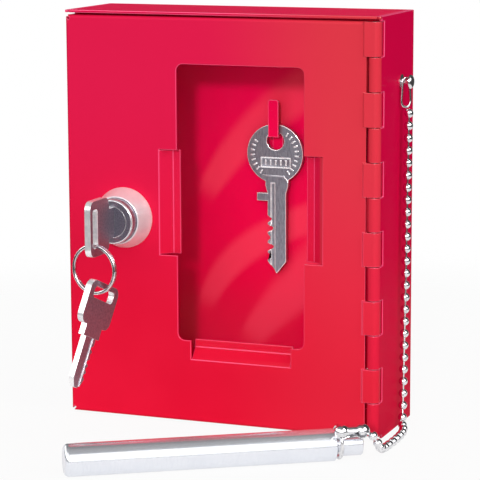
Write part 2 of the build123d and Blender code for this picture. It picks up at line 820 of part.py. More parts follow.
# The link is a wire teardrop over the stud's neck; its point carries the chain.
link_across = Vector(cos(radians(link_yaw)), sin(radians(link_yaw)), 0)
link_normal = Vector(sin(radians(link_yaw)), -cos(radians(link_yaw)), 0)
link_x = right + (stud_collar_length + stud_neck_end) / 2
link_top = stud_height + stud_neck_radius + link_rest + link_wire_radius
link_plane = Plane(
    origin=(link_x, stud_y, link_top - link_top_radius),
    x_dir=(link_across.X, link_across.Y, 0),
    z_dir=(link_normal.X, link_normal.Y, 0),
)
link_turn = asin((link_bottom_radius - link_top_radius) / link_drop)
side_x = cos(link_turn)
side_y = -sin(link_turn)
with BuildPart() as chain_link:
    with BuildLine(link_plane) as link_path:
        top_right = (link_top_radius * side_x, -link_top_radius * side_y)
        top_left = (-link_top_radius * side_x, -link_top_radius * side_y)
        low_right = (link_bottom_radius * side_x, -link_drop - link_bottom_radius * side_y)
        low_left = (-link_bottom_radius * side_x, -link_drop - link_bottom_radius * side_y)
        ThreePointArc(top_right, (0, link_top_radius), top_left)
        Line(top_left, low_left)
        ThreePointArc(low_left, (0, -link_drop - link_bottom_radius), low_right)
        Line(low_right, top_right)
    link_side = Plane(
        origin=link_path.line @ 0,
        z_dir=link_path.line % 0,
    )
    with BuildSketch(link_side):
        Circle(link_wire_radius)
    sweep(path=link_path.line)
chain_link.part.label = "chain_link"
export_step(chain_link.part, "parts/chain_link.step")


def turn_radii(route, share):
    """The largest easy bend at each inner point of a route."""
    radii = []
    for before, here, after in zip(route, route[1:], route[2:]):
        arriving = Vector(*here) - Vector(*before)
        leaving = Vector(*after) - Vector(*here)
        half_turn = radians(arriving.get_angle(leaving)) / 2
        radii.append(share * min(arriving.length, leaving.length) / tan(half_turn))
    return radii


def report_cord(name, part, path):
    """Prints the tube's radius, its length and how well its volume agrees."""
    length = sum(edge.length for edge in path.edges())
    expected = pi * chain_radius**2 * length
    print(f"{name}: radius {chain_radius} length {length:.1f}")
    print(f"{name}: volume {part.volume:.1f}, section by length {expected:.1f}")


with BuildPart() as hanging_chain:
    with BuildLine() as hanging_path:
        FilletPolyline(*hanging_route, radius=turn_radii(hanging_route, arc_share))
    with BuildSketch(Plane(origin=hanging_path.line @ 0, z_dir=hanging_path.line % 0)):
        Circle(chain_radius)
    sweep(path=hanging_path.line)
hanging_chain.part.label = "hanging_chain"
export_step(hanging_chain.part, "parts/hanging_chain.step")
report_cord("hanging_chain", hanging_chain.part, hanging_path.line)

with BuildPart() as lying_chain:
    with BuildLine() as lying_path:
        FilletPolyline(*lying_route, radius=turn_radii(lying_route, arc_share))
    with BuildSketch(Plane(origin=lying_path.line @ 0, z_dir=lying_path.line % 0)):
        Circle(chain_radius)
    sweep(path=lying_path.line)
lying_chain.part.label = "lying_chain"
export_step(lying_chain.part, "parts/lying_chain.step")
report_cord("lying_chain", lying_chain.part, lying_path.line)

# ---- Hammer, its neck ring and the chain's clasp -------------------------------------------------
hammer_dir = Vector(cos(radians(hammer_yaw)), sin(radians(hammer_yaw)), 0)
hammer_front = Vector(sin(radians(hammer_yaw)), -cos(radians(hammer_yaw)), 0)
hammer_neck = Vector(hammer_neck_x, hammer_neck_y, hammer_radius)
hammer_plane = Plane(origin=hammer_neck, x_dir=hammer_dir, z_dir=hammer_front)
hammer_axis = Axis(hammer_neck, hammer_dir)
head_end = hammer_groove_length + hammer_head_length
with BuildPart() as hammer_rod:
    with BuildSketch(hammer_plane):
        polygon(
            (-hammer_length, 0),
            (-hammer_length, hammer_radius),
            (0, hammer_radius),
            (0, hammer_groove_radius),
            (hammer_groove_length, hammer_groove_radius),
            (hammer_groove_length, hammer_head_radius),
            (head_end, hammer_head_radius),
            (head_end, 0),
        )
    revolve(axis=hammer_axis)
    end_plane = Plane(origin=hammer_neck - hammer_dir * hammer_length, z_dir=hammer_dir)
    rod_edges = hammer_rod.edges().sort_by(hammer_axis)
    fillet(rod_edges[0], hammer_round)
    chamfer(hammer_rod.edges().sort_by(hammer_axis)[-1], hammer_edge)
hammer_rod.part.label = "hammer_rod"
export_step(hammer_rod.part, "parts/hammer_rod.step")

# The neck ring hangs loosely in the groove and leans towards the front.
groove_middle = hammer_neck + hammer_dir * (hammer_groove_length / 2)
lean = radians(neck_ring_lean)
ring_lean = up * cos(lean) + hammer_front * sin(lean)
ring_far_side = hammer_groove_radius + neck_ring_gap + neck_ring_wire
neck_ring_centre = groove_middle + ring_lean * (neck_ring_radius - ring_far_side)
neck_ring_plane = Plane(origin=neck_ring_centre, x_dir=ring_lean, z_dir=ring_lean.cross(hammer_dir))
neck_ring_axis = Axis(neck_ring_centre, hammer_dir)
with BuildPart() as neck_ring:
    with BuildSketch(neck_ring_plane):
        with Locations((neck_ring_radius, 0)):
            Circle(neck_ring_wire)
    revolve(axis=neck_ring_axis)
neck_ring.part.label = "neck_ring"
export_step(neck_ring.part, "parts/neck_ring.step")

clasp_near = groove_middle + ring_lean * lobe_from_axis
clasp_far = Vector(*clasp_far_end)
clasp_dir = (clasp_far - clasp_near).normalized()
clasp_span = (clasp_far - clasp_near).length
with BuildPart() as chain_clasp:
    with BuildSketch(Plane(origin=clasp_near, z_dir=clasp_dir)):
        Circle(clasp_waist_radius)
    extrude(amount=clasp_span)
    with Locations(clasp_near, clasp_far):
        Sphere(lobe_radius)
    with BuildSketch(neck_ring_plane):
        with Locations((neck_ring_radius, 0)):
            Circle(neck_ring_wire + fit_gap)
    revolve(axis=neck_ring_axis, mode=Mode.SUBTRACT)
chain_clasp.part.label = "chain_clasp"
export_step(chain_clasp.part, "parts/chain_clasp.step")
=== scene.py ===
"""Looks of the break glass key box: a red steel case with a windowed, locking door,
its keys, and a hammer on a ball chain. Metres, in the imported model's own frame.
"""

import json
import math

import bmesh
import bpy
from mathutils import Matrix, Vector
from mathutils.bvhtree import BVHTree

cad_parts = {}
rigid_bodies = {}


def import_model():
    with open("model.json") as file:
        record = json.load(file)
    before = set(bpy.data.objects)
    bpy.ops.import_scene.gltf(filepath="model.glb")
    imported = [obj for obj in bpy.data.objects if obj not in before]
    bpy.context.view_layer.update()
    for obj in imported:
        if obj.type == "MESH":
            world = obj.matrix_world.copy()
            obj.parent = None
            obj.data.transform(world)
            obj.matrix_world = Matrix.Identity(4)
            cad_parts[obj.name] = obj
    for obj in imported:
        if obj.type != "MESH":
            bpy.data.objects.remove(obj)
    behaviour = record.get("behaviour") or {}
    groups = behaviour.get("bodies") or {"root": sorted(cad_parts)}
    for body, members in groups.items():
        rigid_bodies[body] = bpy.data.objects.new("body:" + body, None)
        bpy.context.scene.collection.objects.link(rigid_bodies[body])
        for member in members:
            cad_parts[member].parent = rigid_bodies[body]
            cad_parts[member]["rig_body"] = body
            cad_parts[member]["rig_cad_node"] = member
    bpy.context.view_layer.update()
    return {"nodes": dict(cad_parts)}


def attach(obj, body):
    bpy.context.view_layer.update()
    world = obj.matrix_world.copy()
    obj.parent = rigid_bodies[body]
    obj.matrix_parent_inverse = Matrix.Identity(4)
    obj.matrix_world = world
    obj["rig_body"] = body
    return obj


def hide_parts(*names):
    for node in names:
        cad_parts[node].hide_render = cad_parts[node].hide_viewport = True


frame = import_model()

# ---- Camera ----------------------------------------------------------------
# The photograph's viewpoint, in front of the box, to its right and a little
# above it. It was worked out from the corners of the case and the door.
camera_place = Vector((0.28309, -0.72089, 0.20023))
camera_azimuth = math.radians(21.32)
camera_elevation = math.radians(9.55)
camera_roll = math.radians(-0.22)
camera_lens = 160.5
camera_shift = (-0.0092, -0.0245)

backwards = Vector((
    math.sin(camera_azimuth) * math.cos(camera_elevation),
    -math.cos(camera_azimuth) * math.cos(camera_elevation),
    math.sin(camera_elevation),
))
level_right = Vector((0, 0, 1)).cross(backwards).normalized()
level_up = backwards.cross(level_right)
camera_right = level_right * math.cos(camera_roll) + level_up * math.sin(camera_roll)
camera_up = level_up * math.cos(camera_roll) - level_right * math.sin(camera_roll)
camera_data = bpy.data.cameras.new("camera")
camera_data.lens = camera_lens
camera_data.shift_x, camera_data.shift_y = camera_shift
camera_data.clip_start = 0.01
camera = bpy.data.objects.new("camera", camera_data)
bpy.context.scene.collection.objects.link(camera)
camera_axes = Matrix((camera_right, camera_up, backwards)).transposed()
camera.matrix_world = Matrix.Translation(camera_place) @ camera_axes.to_4x4()
bpy.context.scene.camera = camera

# ---- Hanging stretch of the ball chain -----------------------------------------
# Nickel plated steel ball chain: hollow balls with a hole at each pole, held on
# short wire pins. It hangs from the link on the stud, close beside the wall.
chain_diameter = 0.0032
ball_radius = chain_diameter / 2
ball_pitch = 0.00443
ball_hole_rim = 0.000175
ball_cap_height = ball_radius * 0.93
ball_cap_flattening = 0.86
pin_radius = 0.00036
hanging_first = 0.0014
hanging_end = Vector((0.0620, 0.0028, 0.0096))
hanging_route = [
    (0.0632, 0.0033, 0.1158),
    (0.0629, 0.0031, 0.0890),
    (0.0627, 0.0030, 0.0620),
    (0.0623, 0.00295, 0.0360),
    (0.0620, 0.0028, 0.0099),
]


class Socket:
    """An output of a node in a material. Operators on it add Math nodes."""

    def __init__(self, tree, output):
        self.tree = tree
        self.output = output

    def node(self, kind, settings=(), sockets=(), output=0):
        """Adds a node, sets it up, fills its sockets with values or links, and
        returns one of its outputs."""
        made = self.tree.nodes.new(kind)
        for name, value in dict(settings).items():
            setattr(made, name, value)
        for name, value in dict(sockets).items():
            if isinstance(value, Socket):
                self.tree.links.new(value.output, made.inputs[name])
            else:
                made.inputs[name].default_value = value
        return Socket(self.tree, made.outputs[output])

    def into(self, shader, name):
        self.tree.links.new(self.output, shader.inputs[name])

    def maths(self, operation, first, second=0.0):
        settings = {"operation": operation}
        return self.node("ShaderNodeMath", settings, {0: first, 1: second})

    def __add__(self, other):
        return self.maths("ADD", self, other)

    def __radd__(self, other):
        return self.maths("ADD", other, self)

    def __sub__(self, other):
        return self.maths("SUBTRACT", self, other)

    def __rsub__(self, other):
        return self.maths("SUBTRACT", other, self)

    def __mul__(self, other):
        return self.maths("MULTIPLY", self, other)

    def __rmul__(self, other):
        return self.maths("MULTIPLY", other, self)

    def __truediv__(self, other):
        return self.maths("DIVIDE", self, other)

    def __rtruediv__(self, other):
        return self.maths("DIVIDE", other, self)

    def between(self, low, high):
        """0 below low and 1 above high, with a smooth rise between them."""
        settings = {"interpolation_type": "SMOOTHSTEP"}
        sockets = {"Value": self, "From Min": low, "From Max": high}
        return self.node("ShaderNodeMapRange", settings, sockets)

    def noise(self, scale, detail):
        sockets = {"Vector": self, "Scale": scale, "Detail": detail}
        return self.node("ShaderNodeTexNoise", (), sockets)

    def stretched(self, scale):
        """These coordinates, scaled along each axis."""
        return self.node("ShaderNodeMapping", (), {"Vector": self, "Scale": scale})

    def axis(self, index):
        return self.node("ShaderNodeSeparateXYZ", (), {"Vector": self}, index)

    def mix(self, first, second):
        """The first colour where this is 0, and the second where it is 1."""
        sockets = {"Factor": self, 6: first, 7: second}
        return self.node("ShaderNodeMix", {"data_type": "RGBA"}, sockets, 2)

    def bump(self, strength, distance):
        sockets = {"Height": self, "Strength": strength, "Distance": distance}
        return self.node("ShaderNodeBump", (), sockets)


def colour(code):
    """A colour written as a web colour, as the shader's own numbers."""
    shares = [int(code[i:i + 2], 16) / 255 for i in (1, 3, 5)]
    levels = [s / 12.92 if s <= 0.04045 else ((s + 0.055) / 1.055) ** 2.4 for s in shares]
    return (*levels, 1.0)


def new_finish(name, **constants):
    """A new material, its shader with the constants set, and its coordinates."""
    material = bpy.data.materials.new(name)
    material.use_nodes = True
    tree = material.node_tree
    shader = tree.nodes["Principled BSDF"]
    for socket, value in constants.items():
        shader.inputs[socket.replace("_", " ")].default_value = value
    place = tree.nodes.new("ShaderNodeTexCoord")
    return material, shader, Socket(tree, place.outputs["Object"])


def deselect():
    """Nothing selected, and no object in edit mode."""
    bpy.ops.object.select_all(action="DESELECT")


def edit(piece):
    """Opens a piece's mesh, with nothing in it selected."""
    deselect()
    bpy.context.view_layer.objects.active = piece
    piece.select_set(True)
    bpy.ops.object.mode_set(mode="EDIT")
    bpy.ops.mesh.select_all(action="DESELECT")


def select_faces(piece, wanted):
    """Selects the faces of the open mesh for which wanted(face) holds."""
    mesh = bmesh.from_edit_mesh(piece.data)
    bpy.ops.mesh.select_mode(type="FACE")
    for face in mesh.faces:
        face.select_set(wanted(face))
    bmesh.update_edit_mesh(piece.data)


def close(piece):
    """Ends the editing of a mesh."""
    bpy.ops.object.mode_set(mode="OBJECT")


def apply_modifiers(piece):
    deselect()
    bpy.context.view_layer.objects.active = piece
    piece.select_set(True)
    for modifier in list(piece.modifiers):
        bpy.ops.object.modifier_apply(modifier=modifier.name)


def smooth(piece, angle):
    """Smooth shading, with sharp edges where faces meet at more than the angle."""
    deselect()
    bpy.context.view_layer.objects.active = piece
    piece.select_set(True)
    bpy.ops.object.shade_smooth_by_angle(angle=math.radians(angle))


def joined(name, pieces):
    """The pieces as one mesh of that name."""
    deselect()
    for piece in pieces:
        piece.select_set(True)
    bpy.context.view_layer.objects.active = pieces[0]
    bpy.ops.object.join()
    whole = bpy.context.view_layer.objects.active
    whole.name = name
    whole.data.name = name
    return whole


def placed_copy(pattern, place):
    """A copy of a modelled shape, with its own mesh, moved by a matrix."""
    made = pattern.copy()
    made.data = pattern.data.copy()
    bpy.context.scene.collection.objects.link(made)
    made.data.transform(place)
    return made


def wear(piece, material):
    """The piece has this material and no other."""
    piece.data.materials.clear()
    piece.data.materials.append(material)


def coat(node, material):
    """A CAD node that stays gets this material."""
    solid = frame["nodes"][node]
    if not solid.material_slots:
        solid.data.materials.append(material)
    for slot in solid.material_slots:
        slot.material = material


def route_line(route):
    """The smooth line that follows a chain's route, as a list of points."""
    curve = bpy.data.curves.new("route", "CURVE")
    curve.dimensions = "3D"
    curve.resolution_u = 24
    spline = curve.splines.new("NURBS")
    spline.points.add(len(route) - 1)
    for point, place in zip(spline.points, route):
        point.co = (*place, 1.0)
    spline.order_u = 3
    spline.use_endpoint_u = True
    holder = bpy.data.objects.new("route", curve)
    bpy.context.scene.collection.objects.link(holder)
    bpy.context.view_layer.update()
    line = bpy.data.meshes.new_from_object(holder)
    points = [vertex.co.copy() for vertex in line.vertices]
    bpy.data.objects.remove(holder)
    bpy.data.curves.remove(curve)
    bpy.data.meshes.remove(line)
    return points


def place_on(points, distance):
    """The point that far along a line of points, straight on past its ends."""
    steps = list(zip(points, points[1:]))
    for start, end in steps[:-1]:
        if distance <= (end - start).length:
            break
        distance -= (end - start).length
    else:
        start, end = steps[-1]
    return start + (end - start).normalized() * distance


def line_length(points):
    return sum((b - a).length for a, b in zip(points, points[1:]))


def make_ball():
    """One ball at the origin, its pin rising from the upper pole."""
    deselect()
    bpy.ops.mesh.primitive_uv_sphere_add(segments=24, ring_count=16, radius=ball_radius)
    ball = bpy.context.active_object
    edit(ball)
    select_faces(ball, lambda face: abs(face.calc_center_median().z) > ball_cap_height)
    bpy.ops.mesh.inset(thickness=ball_hole_rim)
    bpy.ops.transform.resize(value=(1, 1, ball_cap_flattening))
    close(ball)
    smooth(ball, 40)
    bpy.ops.mesh.primitive_cylinder_add(
        vertices=10,
        radius=pin_radius,
        depth=ball_pitch - ball_radius,
        location=(0, 0, ball_pitch / 2),
    )
    pin = bpy.context.active_object
    bpy.ops.object.transform_apply(location=True, rotation=True, scale=True)
    edit(pin)
    select_faces(pin, lambda face: abs(face.normal.z) < 0.5)
    bpy.ops.mesh.subdivide(number_cuts=2)
    bpy.ops.mesh.select_all(action="DESELECT")
    close(pin)
    smooth(pin, 40)
    return joined("ball", [ball, pin])


def ball_chain(name, points, first, last_pin):
    """Balls at the pitch along a line, from the first distance on, as one piece."""
    pattern = make_ball()
    balls = []
    count = int((line_length(points) - first) / ball_pitch) + 1
    for index in range(count):
        here = place_on(points, first + index * ball_pitch)
        ahead = place_on(points, first + (index + 1) * ball_pitch)
        if index == count - 1:
            ahead = last_pin
        turn = (ahead - here).to_track_quat("Z", "Y").to_matrix().to_4x4()
        balls.append(placed_copy(pattern, Matrix.Translation(here) @ turn))
    bpy.data.objects.remove(pattern)
    return joined(name, balls)


chain_steel, shader, place = new_finish(
    "chain_steel",
    Metallic=1.0,
    Specular_IOR_Level=0.5,
)
scuffs = place.noise(scale=1400.0, detail=4.0)
scuffs.between(0.35, 0.75).mix(colour("#f4f4f6"), colour("#cfd0d4")).into(
    shader, "Base Color"
)
(0.08 + scuffs * 0.16).into(shader, "Roughness")
place.noise(scale=2600.0, detail=3.0).bump(strength=0.12, distance=0.00005).into(
    shader, "Normal"
)

hanging_points = route_line(hanging_route)
hanging_chain = ball_chain(
    "ball_chain_hanging", hanging_points, hanging_first, hanging_end
)
wear(hanging_chain, chain_steel)
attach(hanging_chain, "case")
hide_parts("hanging_chain")

# ---- Lying stretch of the ball chain -----------------------------------------
# The rest of the same chain. It meets the floor beside the box, runs forward
# over it and rises to the clasp that holds it to the hammer.
lying_first = 0.00157
clasp_far_end = Vector((0.0637, -0.0493, 0.0116))
lying_route = [
    (0.0620, 0.0028, 0.0096),
    (0.0620, 0.0027, 0.0050),
    (0.0630, -0.0010, 0.00175),
    (0.0656, -0.0072, 0.00165),
    (0.0666, -0.0148, 0.00165),
    (0.0668, -0.0226, 0.00165),
    (0.0665, -0.0304, 0.00165),
    (0.0669, -0.0376, 0.0024),
    (0.0678, -0.0436, 0.0052),
    (0.0680, -0.0473, 0.0088),
    (0.0663, -0.0484, 0.0107),
]
lying_points = route_line(lying_route)
lying_chain = ball_chain("ball_chain_lying", lying_points, lying_first, clasp_far_end)
wear(lying_chain, chain_steel)
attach(lying_chain, "floor_chain")
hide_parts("lying_chain")

# ---- Clasp of the chain --------------------------------------------------------
# A coupling pressed from thin nickel plated sheet: two round lobes with a waist,
# open along one side, where the chain's end ball and the ring's ball snap in.
lobe_radius = 0.0026
lobe_near = Vector((0.05740, -0.05267, 0.01147))
waist_radius = 0.0019
clasp_sheet = 0.00032
clasp_voxel = 0.00016
clasp_opening = Vector((0.55, -0.50, -0.67)).normalized()
clasp_opening_reach = 0.0007
slot_half_width = 0.00065
slot_widening = 0.0011
slot_widens_from = 0.25
slot_widening_rate = 1.3
slot_start = -0.12
near_pin_direction = Vector((-0.7, 0.55, -0.75))

deselect()
clasp_parts = []
for middle in (lobe_near, clasp_far_end):
    bpy.ops.mesh.primitive_uv_sphere_add(
        segments=48, ring_count=24, radius=lobe_radius, location=middle
    )
    clasp_parts.append(bpy.context.active_object)
along = clasp_far_end - lobe_near
bpy.ops.mesh.primitive_cylinder_add(
    vertices=40,
    radius=waist_radius,
    depth=along.length,
    location=(lobe_near + clasp_far_end) / 2,
    rotation=along.to_track_quat("Z", "Y").to_euler(),
)
clasp_parts.append(bpy.context.active_object)
clasp = joined("clasp", clasp_parts)
bpy.ops.object.transform_apply(location=True, rotation=True, scale=True)
remesh = clasp.modifiers.new("one skin", "REMESH")
remesh.mode = "VOXEL"
remesh.voxel_size = clasp_voxel
rounding = clasp.modifiers.new("rounding", "SMOOTH")
rounding.iterations = 12
apply_modifiers(clasp)
edit(clasp)
opening_side = clasp_opening - along.normalized() * clasp_opening.dot(along.normalized())
opening_side.normalize()
opening_across = along.normalized().cross(opening_side)


def in_opening(face):
    """True on the open side: a slot along the clasp, wider at the far lobe."""
    offset = face.calc_center_median() - lobe_near
    share = offset.dot(along) / along.length_squared
    widened = max(0.0, min(1.0, share * slot_widening_rate - slot_widens_from))
    reach = slot_half_width + slot_widening * widened
    near_middle = abs(offset.dot(opening_across)) < reach
    on_open_side = offset.dot(opening_side) > clasp_opening_reach
    return near_middle and on_open_side and share > slot_start


select_faces(clasp, in_opening)
bpy.ops.mesh.delete(type="FACE")
close(clasp)
shell = clasp.modifiers.new("sheet", "SOLIDIFY")
shell.thickness = clasp_sheet
shell.offset = -1.0
apply_modifiers(clasp)
smooth(clasp, 40)
wear(clasp, chain_steel)
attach(clasp, "hammer")
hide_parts("chain_clasp")

end_ball_pattern = make_ball()
end_ball_copies = []
for middle, pin_direction in (
    (clasp_far_end, lobe_near - clasp_far_end),
    (lobe_near, near_pin_direction),
):
    turn = pin_direction.to_track_quat("Z", "Y").to_matrix().to_4x4()
    end_ball_copies.append(
        placed_copy(end_ball_pattern, Matrix.Translation(middle) @ turn)
    )
end_balls = joined("clasp_end_balls", end_ball_copies)
bpy.data.objects.remove(end_ball_pattern)
wear(end_balls, chain_steel)
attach(end_balls, "hammer")

# ---- Link, stud and neck ring ------------------------------------------------------
# A bent wire link hangs on a turned stud that is riveted through the side wall.
# The neck ring is a sprung wire ring in the hammer's groove. All are bright nickel.
bright_nickel, shader, place = new_finish("bright_nickel", Metallic=1.0)
drawn = place.noise(scale=900.0, detail=5.0)
drawn.between(0.3, 0.8).mix(colour("#f2f1f2"), colour("#c6c5c9")).into(
    shader, "Base Color"
)
(0.10 + drawn * 0.14).into(shader, "Roughness")
drawing_lines = place.stretched((1.0, 1.0, 4.0)).noise(scale=3000.0, detail=2.0)
drawing_lines.bump(strength=0.10, distance=0.00004).into(shader, "Normal")
for node in ("chain_stud", "chain_link", "neck_ring"):
    coat(node, bright_nickel)

# ---- Case ------------------------------------------------------------------
# One folded blank of 1 mm steel sheet with open corner seams, screwed to the
# wall through its back. Deburred, and powder coated red inside and out.
sheet_edge = 0.00025
merge_distance = 0.000002
stray_limit = 1.5
sharp_corner = math.radians(32)
flat_enough = math.radians(1)
rounding_segments = 2


def pull_in(piece, solid, reach):
    """Brings a rounding's stray corners back onto the solid's own surface."""
    surface = BVHTree.FromPolygons(
        [vertex.co for vertex in solid.data.vertices],
        [face.vertices for face in solid.data.polygons],
    )
    for vertex in piece.data.vertices:
        nearest, _, _, gap = surface.find_nearest(vertex.co)
        if gap > reach:
            vertex.co = nearest


def softened(node, name, width, material, body, edge=None, clamp=True):
    """A copy of a CAD node as a piece of its own: its triangles merged, its
    sharp edges rounded to that width, finished and set on its body. The rounded
    edges can have a finish of their own, which in this script paints a highlight along
    them."""
    deselect()
    solid = frame["nodes"][node]
    piece = solid.copy()
    piece.data = solid.data.copy()
    piece.name = name
    piece.data.name = name
    piece.parent = None
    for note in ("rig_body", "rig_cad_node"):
        del piece[note]
    bpy.context.scene.collection.objects.link(piece)
    edit(piece)
    bpy.ops.mesh.customdata_custom_splitnormals_clear()
    bpy.ops.mesh.select_all(action="SELECT")
    bpy.ops.mesh.remove_doubles(threshold=merge_distance)
    bpy.ops.mesh.dissolve_limited(angle_limit=flat_enough)
    close(piece)
    rounding = piece.modifiers.new("rounding", "BEVEL")
    rounding.width = width
    rounding.segments = rounding_segments
    rounding.limit_method = "ANGLE"
    rounding.angle_limit = sharp_corner
    rounding.use_clamp_overlap = clamp
    wear(piece, material)
    if edge:
        piece.data.materials.append(edge)
        rounding.material = 1
    apply_modifiers(piece)
    pull_in(piece, solid, width * stray_limit)
    smooth(piece, 40)
    weigh = piece.modifiers.new("flat faces", "WEIGHTED_NORMAL")
    weigh.keep_sharp = True
    apply_modifiers(piece)
    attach(piece, body)
    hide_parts(node)
    return piece


# Edge softness and start of a painted streak of light.
painted_streak_side = (0.5, 1.15)
painted_streak_start = (-0.006, 0.004)


def painted_streak(place, start, slant, width, spread, bend):
    """1 along one broad painted streak of light on the back wall, 0 beside it. It starts
    at (x, z), rises at the slant, widens by the spread and curves by the bend."""
    right = place.axis(0) - start[0]
    up = place.axis(2) - start[1]
    along = right * math.cos(slant) + up * math.sin(slant)
    across = up * math.cos(slant) - right * math.sin(slant) + along * along * bend
    beside = across.maths("ABSOLUTE", across) / (width + along * spread)
    return (1.0 - beside.between(*painted_streak_side)) * along.between(*painted_streak_start)


def paint(name, tints, sky_tint, specular, roughness):
    """Powder coat: a little cloudy, with the fine skin that baking gives it. Painted light
    is mixed in too: a bluer painted sky reflection toward the top, a painted sheen
    toward the right and top of the front, and painted streaks of light on the back wall.
    """
    made, shader, place = new_finish(name, Specular_IOR_Level=specular)
    cloudy = place.noise(scale=22.0, detail=3.0)
    specks = place.noise(scale=5200.0, detail=2.0)
    coating = cloudy.between(0.25, 0.75).mix(*map(colour, tints))
    # Painted sky reflection: the red turns bluer toward the top.
    coating = place.axis(2).between(*sky_tint_height).mix(coating, colour(sky_tint))
    # Painted sheen: a lighter, warmer red toward the right of the front faces, strongest at
    # the top.
    painted_sheen = place.axis(0).between(*sheen_across) * (1.0 - place.axis(1).between(*sheen_depth))
    sheen_rise = place.axis(2).between(*sheen_height)
    painted_sheen = painted_sheen * (sheen_low + (1.0 - sheen_low) * sheen_rise)
    coating = (painted_sheen * (0.8 + cloudy * 0.4)).mix(coating, colour(painted_sheen_tint))
    # Painted streaks of light, kept to the back wall.
    streaks_of_light = 0.0
    for values in painted_streaks:
        streaks_of_light = streaks_of_light + painted_streak(place, *values)
    streaks_of_light = streaks_of_light * place.axis(1).between(*wall_front)
    streaks_of_light = streaks_of_light * (1.0 - place.axis(1).between(*wall_back))
    (streaks_of_light * (0.7 + cloudy * 0.3)).mix(coating, colour(streaks_of_light_tint)).into(
        shader, "Base Color"
    )
    (roughness + cloudy * 0.06 + specks * 0.05).into(shader, "Roughness")
    skin = place.noise(scale=780.0, detail=2.0) * 0.7 + specks * 0.3
    skin.bump(strength=0.16, distance=0.00012).into(shader, "Normal")
    return made


# The painted sky reflection rises over this height.
sky_tint_height = (0.020, 0.130)
# The painted sheen: across to the right, on the front faces only, weaker low down.
sheen_across = (-0.010, 0.052)
sheen_depth = (-0.0192, -0.0186)
sheen_height = (0.020, 0.120)
sheen_low = 0.35
painted_sheen_tint = "#df3746"
# The painted streaks of light: the back wall's depth, each streak's start, slant, width,
# spread and bend, and their tint.
wall_front = (0.0186, 0.0189)
wall_back = (0.0192, 0.0196)
painted_streaks = (
    ((-0.0200, 0.0810), math.radians(60), 0.0048, 0.10, 5.0),
    ((-0.0206, 0.0385), math.radians(68), 0.0042, 0.12, 12.0),
    ((-0.0030, 0.0255), math.radians(50), 0.0056, 0.16, 2.0),
)
streaks_of_light_tint = "#ea3350"
case_paint = paint("red_paint_case", ("#e0003a", "#da0036"), "#e20046", 0.010, 0.36)
# Edges: glossier paint, and a lighter pink that is a painted highlight.
case_highlight_edge = paint("red_paint_case_highlight_edge", ("#fb4276", "#f2386c"), "#ff5c8e", 0.6, 0.20)
softened(
    "case_shell", "case", sheet_edge, case_paint, "case",
    edge=case_highlight_edge, clamp=False,
)

# ---- Door ------------------------------------------------------------------
# The same sheet and coating. Its window is pressed and cut with three tabs that
# hold the glass from behind, and its right edge is rolled into hinge knuckles.
# It was coated in another batch, a slightly warmer red.
door_paint = paint("red_paint_door", ("#e30f35", "#dd062f"), "#e2184a", 0.08, 0.36)
# Edges: glossier paint, and a lighter pink that is a painted highlight.
door_highlight_edge = paint("red_paint_door_highlight_edge", ("#f8386a", "#ee2e60"), "#f64878", 0.6, 0.20)
softened(
    "door_panel", "door", sheet_edge, door_paint, "door",
    edge=door_highlight_edge, clamp=False,
)

# ---- Hinge pin ---------------------------------------------------------------
# A plain zinc plated steel pin through all the knuckles, domed at its ends.
zinc_steel, shader, place = new_finish("zinc_steel", Metallic=1.0)
plating = place.noise(scale=420.0, detail=5.0)
plating.between(0.3, 0.75).mix(colour("#c9ccd2"), colour("#9b9fa6")).into(
    shader, "Base Color"
)
(0.30 + plating * 0.22).into(shader, "Roughness")
place.noise(scale=1900.0, detail=3.0).bump(strength=0.2, distance=0.00005).into(
    shader, "Normal"
)
coat("hinge_pin", zinc_steel)

# ---- Glass -------------------------------------------------------------------
# A loose pane of 2 mm clear float glass behind the window, which is meant to be
# broken. A faint film of dust and finger marks lies on it.
clear_glass, shader, place = new_finish(
    "clear_glass",
    Base_Color=colour("#ffe3e3"),
    Roughness=0.7,
)
tree = clear_glass.node_tree
film = place.stretched((3.0, 1.0, 1.0)).noise(scale=60.0, detail=4.0)
through = place.node("ShaderNodeBsdfTransparent", (), {"Color": (1.0, 1.0, 1.0, 1)})
gloss = place.node("ShaderNodeBsdfGlossy", (), {"Roughness": 0.02})
edge_on = place.node("ShaderNodeFresnel", (), {"IOR": 1.13})
leaving = place.node("ShaderNodeNewGeometry", (), (), "Backfacing")
outer_gloss = edge_on * (1.0 - leaving)
clean = place.node("ShaderNodeMixShader", (), {0: outer_gloss, 1: through, 2: gloss})
filmed = place.node(
    "ShaderNodeMixShader",
    (),
    {0: film * 0.003, 1: clean, 2: Socket(tree, shader.outputs[0])},
)
filmed.into(tree.nodes["Material Output"], "Surface")
coat("glass_pane", clear_glass)

# ---- Lock --------------------------------------------------------------------
# A wafer cam lock: a satin chrome cover and nose in front of the door, and
# behind it a zinc plated washer, nut, cam and screw on the turned plug.
satin_chrome, shader, place = new_finish("satin_chrome", Metallic=0.45)
wipes = place.noise(scale=260.0, detail=5.0)
wipes.between(0.3, 0.8).mix(colour("#fffafd"), colour("#f4ecf1")).into(
    shader, "Base Color"
)
(0.26 + wipes * 0.12).into(shader, "Roughness")
place.noise(scale=1500.0, detail=3.0).bump(strength=0.04, distance=0.00004).into(
    shader, "Normal"
)

brushed_nickel, shader, place = new_finish("brushed_nickel", Metallic=0.85)
lathe = place.stretched((1.0, 0.12, 1.0)).noise(scale=2400.0, detail=4.0)
lathe.between(0.3, 0.8).mix(colour("#9f9dab"), colour("#6b6977")).into(
    shader, "Base Color"
)
(0.20 + lathe * 0.20).into(shader, "Roughness")
lathe.bump(strength=0.22, distance=0.00006).into(shader, "Normal")

lock_edge = 0.00018
softened("lock_rosette", "lock_cover", lock_edge, satin_chrome, "door")
